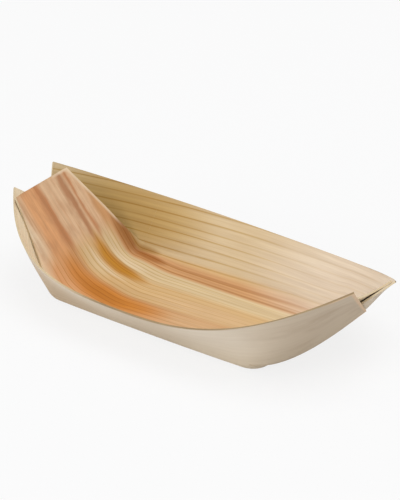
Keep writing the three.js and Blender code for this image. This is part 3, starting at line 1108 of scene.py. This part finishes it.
def pine_inside():
    """Inner face: yellow and orange pine with late-wood lines, and redder wood on the left tab."""
    shader = Shader("pine_inside")
    along, across, edge = shader.blank()
    warped = grain_place(shader, along, across)
    fine, coarse = fibres(shader, along, warped)
    colour = shader.bands(warped, INSIDE_BANDS)
    colour = stain_and_shade(shader, colour, along, warped, INSIDE_STAINS)
    colour, on_tab = redden_tab(shader, colour, along, across, warped)
    # Dark streaked wood and painted shade in the corner about the root of the far left slit
    colour = stain_and_shade(shader, colour, along, warped, ROOT_STAINS_AND_SHADE)
    lines = inside_lines(shader, along, warped, on_tab)
    colour = shader.mix(lines, colour, linear(*INSIDE_LINE_TINT), "MULTIPLY")
    colour = shade_fibres(shader, colour, fine, coarse, **INSIDE_FIBRES)
    # Painted highlight: a pale strip along the far edges of the left tab, where the cut edge catches the
    # light
    strength = shader.product(on_tab, TAB_EDGE_HIGHLIGHT_STRENGTH)
    colour = edge_painted_light(shader, colour, edge, across, strength=strength, **TAB_EDGE_HIGHLIGHT)
    colour = wear_edges(shader, colour, edge, coarse, INSIDE_WEAR)
    return finish_wood(shader, colour, fine, **INSIDE_FINISH)


def pine_outside():
    """Outer face: greyer pine with faint lines, and a rosy strip of painted light along the edges of the
    right end, lightening the shadowed gap between the tab and its flaps.
    """
    shader = Shader("pine_outside")
    along, across, edge = shader.blank()
    warped = grain_place(shader, along, across)
    fine, coarse = fibres(shader, along, warped)
    colour = shader.bands(warped, OUTSIDE_BANDS)
    colour = stain_and_shade(shader, colour, along, across, OUTSIDE_STAINS)
    colour = blotch(shader, colour, along, warped, **OUTSIDE_CLOUDS)
    lines = shader.product(ring_lines(shader, along, warped), OUTSIDE_LINES)
    colour = shader.mix(lines, colour, linear(*OUTSIDE_LINE_TINT), "MULTIPLY")
    colour = shade_fibres(shader, colour, fine, coarse, **OUTSIDE_FIBRES)
    strength = shader.product(shader.ramp(along, *PATCHES_GROWTH), PATCHES_STRENGTH)
    colour = blotch(shader, colour, along, warped, strength=strength, **OUTSIDE_PATCHES)
    colour = wear_edges(shader, colour, edge, coarse, OUTSIDE_WEAR)
    # Painted light: rosy strip along the free edges at the right end, standing in for light in the shadowed
    # gap behind the tab's top edge
    colour = edge_painted_light(shader, colour, edge, along, **OUTSIDE_END_LIGHT_STRIP)
    return finish_wood(shader, colour, fine, **OUTSIDE_FINISH)


def pine_cut(name, dark, light):
    """Cut edge of the sheet between two tones, going over to a dull one towards the left end."""
    shader = Shader(name)
    along, across, _ = shader.blank()
    fine, coarse = fibres(shader, along, across)
    colour = shader.mix(fine, linear(*dark), linear(*light))
    colour = shader.mix(shader.ramp(along, *CUT_CHANGE), colour, linear(*CUT_DULL))
    return finish_wood(shader, colour, coarse, **CUT_FINISH)


def dried_glue():
    """Dried glue, clouded pale and amber, with a faint skin."""
    shader = Shader("dried_glue")
    along, across, height = shader.blank()
    clouds = shader.noise(along, across, **GLUE_CLOUDS)
    skin = shader.noise(along, height, **GLUE_SKIN)
    colour = shader.mix(clouds, linear(*GLUE_AMBER), linear(*GLUE_PALE))
    return finish_wood(shader, colour, skin, **GLUE_FINISH)


def clothe(piece, *materials):
    for material in materials:
        piece.data.materials.append(material)


def settle(piece, node, slot):
    """Puts a drawn piece in the place of its solid."""
    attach(piece, "root")
    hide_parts(node)


def build_boat():
    rim_cut = pine_cut("pine_rim_edge", CUT_DARK, CUT_MIDDLE)
    end_cut = pine_cut("pine_end_edge", SAPWOOD, CUT_LIGHT)
    wood = (pine_inside(), pine_outside(), rim_cut, end_cut)
    glue = dried_glue()
    veneer = {
        "floor_panel": (floor_mesh(), "veneer_inside"),
        "near_side_wall": (wall_mesh("near"), "veneer_wall"),
        "far_side_wall": (wall_mesh("far"), "veneer_wall"),
    }
    for end in END_SIGN:
        veneer[f"{end}_end_tab"] = (tab_mesh(end), "veneer_heartwood")
    for side, end in FLAP:
        veneer[f"{side}_{end}_flap"] = (flap_mesh(side, end), "veneer_wall")
    for node, (piece, slot) in veneer.items():
        clothe(piece, *wood)
        settle(piece, node, slot)
    for side, end in FLAP:
        piece = glue_mesh(side, end)
        clothe(piece, glue)
        settle(piece, f"{side}_{end}_glue", "glue")


# Studio floor, light and camera, in metres

FLOOR_CLEARANCE = 0.00005
FLOOR_REACH = 6.0
FLOOR_COLOUR = (0.86, 0.86, 0.87, 1.0)
FLOOR_ROUGHNESS = 0.9
FLOOR_SEEN = 0.98
FLOOR_SHADE_LEFT = 0.16
WORLD_COLOUR = (1.0, 1.0, 1.0, 1.0)
WORLD_LIGHT = 0.5
WORLD_SEEN = 0.93
LAMPS = {
    "key": {"spot": (0.15, 0.15, 1.0), "size": 0.9, "power": 5.5},
    "fill": {"spot": (-0.35, -1.1, 0.3), "size": 0.8, "power": 6.5},
}
LAMP_TARGET = (0.0, 0.0, 0.015)
CAMERA_AZIMUTH = math.radians(37.35)
CAMERA_ELEVATION = math.radians(27.8)
CAMERA_DISTANCE = 3.0
CAMERA_RIGHT = 0.00067
CAMERA_UP = 0.02337
CAMERA_LENS = 561.6
CAMERA_SENSOR = 36.0
CAMERA_REACH = 50.0


def seen_share(tree):
    """1 for what the camera sees directly, in a reflection or through glass."""
    path = tree.nodes.new("ShaderNodeLightPath")
    seen = path.outputs["Is Camera Ray"]
    for name in ("Is Glossy Ray", "Is Transmission Ray"):
        either = tree.nodes.new("ShaderNodeMath")
        either.operation = "MAXIMUM"
        tree.links.new(seen, either.inputs[0])
        tree.links.new(path.outputs[name], either.inputs[1])
        seen = either.outputs[0]
    return seen


def see_white(tree, shaded):
    """Shader that is seen nearly white, with a part of the floor's own shading left in it."""
    glow = tree.nodes.new("ShaderNodeEmission")
    glow.inputs["Strength"].default_value = FLOOR_SEEN
    share = tree.nodes.new("ShaderNodeMath")
    share.operation = "MULTIPLY"
    share.inputs[1].default_value = 1.0 - FLOOR_SHADE_LEFT
    tree.links.new(seen_share(tree), share.inputs[0])
    blend = tree.nodes.new("ShaderNodeMixShader")
    tree.links.new(share.outputs[0], blend.inputs[0])
    tree.links.new(shaded, blend.inputs[1])
    tree.links.new(glow.outputs[0], blend.inputs[2])
    return blend.outputs[0]


def make_floor():
    mesh = bpy.data.meshes.new("studio_floor")
    corners = [(-1, -1), (1, -1), (1, 1), (-1, 1)]
    points = [(x * FLOOR_REACH, y * FLOOR_REACH, -FLOOR_CLEARANCE) for x, y in corners]
    mesh.from_pydata(points, [], [(0, 1, 2, 3)])
    floor = bpy.data.objects.new("studio_floor", mesh)
    bpy.context.scene.collection.objects.link(floor)
    shader = Shader("studio_floor")
    shader.surface.inputs["Base Color"].default_value = FLOOR_COLOUR
    shader.surface.inputs["Roughness"].default_value = FLOOR_ROUGHNESS
    shown = see_white(shader.tree, shader.surface.outputs[0])
    shader.tree.links.new(shown, shader.tree.nodes["Material Output"].inputs["Surface"])
    mesh.materials.append(shader.material)


def make_world():
    world = bpy.data.worlds.new("studio")
    world.use_nodes = True
    tree = world.node_tree
    background = tree.nodes["Background"]
    background.inputs["Color"].default_value = WORLD_COLOUR
    level = tree.nodes.new("ShaderNodeMapRange")
    level.inputs["To Min"].default_value = WORLD_LIGHT
    level.inputs["To Max"].default_value = WORLD_SEEN
    tree.links.new(seen_share(tree), level.inputs["Value"])
    tree.links.new(level.outputs[0], background.inputs["Strength"])
    bpy.context.scene.world = world


def aim(thing, spot, target):
    """Sets a lamp or the camera at a spot and turns it to a target."""
    thing.location = Vector(spot)
    thing.rotation_euler = (Vector(target) - Vector(spot)).to_track_quat("-Z", "Y").to_euler()


def add_lamp(name, spot, size, power):
    lamp = bpy.data.lights.new(name, "AREA")
    lamp.size = size
    lamp.energy = power
    thing = bpy.data.objects.new(name, lamp)
    bpy.context.scene.collection.objects.link(thing)
    aim(thing, spot, LAMP_TARGET)


def add_camera():
    """Camera with a long lens, on the photograph's side of the boat."""
    azimuth, elevation = CAMERA_AZIMUTH, CAMERA_ELEVATION
    right = Vector((math.cos(azimuth), math.sin(azimuth), 0.0))
    back = Vector((math.sin(azimuth) * math.cos(elevation), -math.cos(azimuth) * math.cos(elevation), 0.0))
    back.z = math.sin(elevation)
    up = back.cross(right)
    target = right * CAMERA_RIGHT + up * CAMERA_UP
    camera = bpy.data.cameras.new("camera")
    camera.lens = CAMERA_LENS
    camera.sensor_width = CAMERA_SENSOR
    camera.clip_end = CAMERA_REACH
    thing = bpy.data.objects.new("camera", camera)
    bpy.context.scene.collection.objects.link(thing)
    aim(thing, target + back * CAMERA_DISTANCE, target)
    bpy.context.scene.camera = thing


build_boat()
make_floor()
make_world()
for name, lamp in LAMPS.items():
    add_lamp(name, **lamp)
add_camera()
bpy.context.scene.view_settings.view_transform = "Standard"
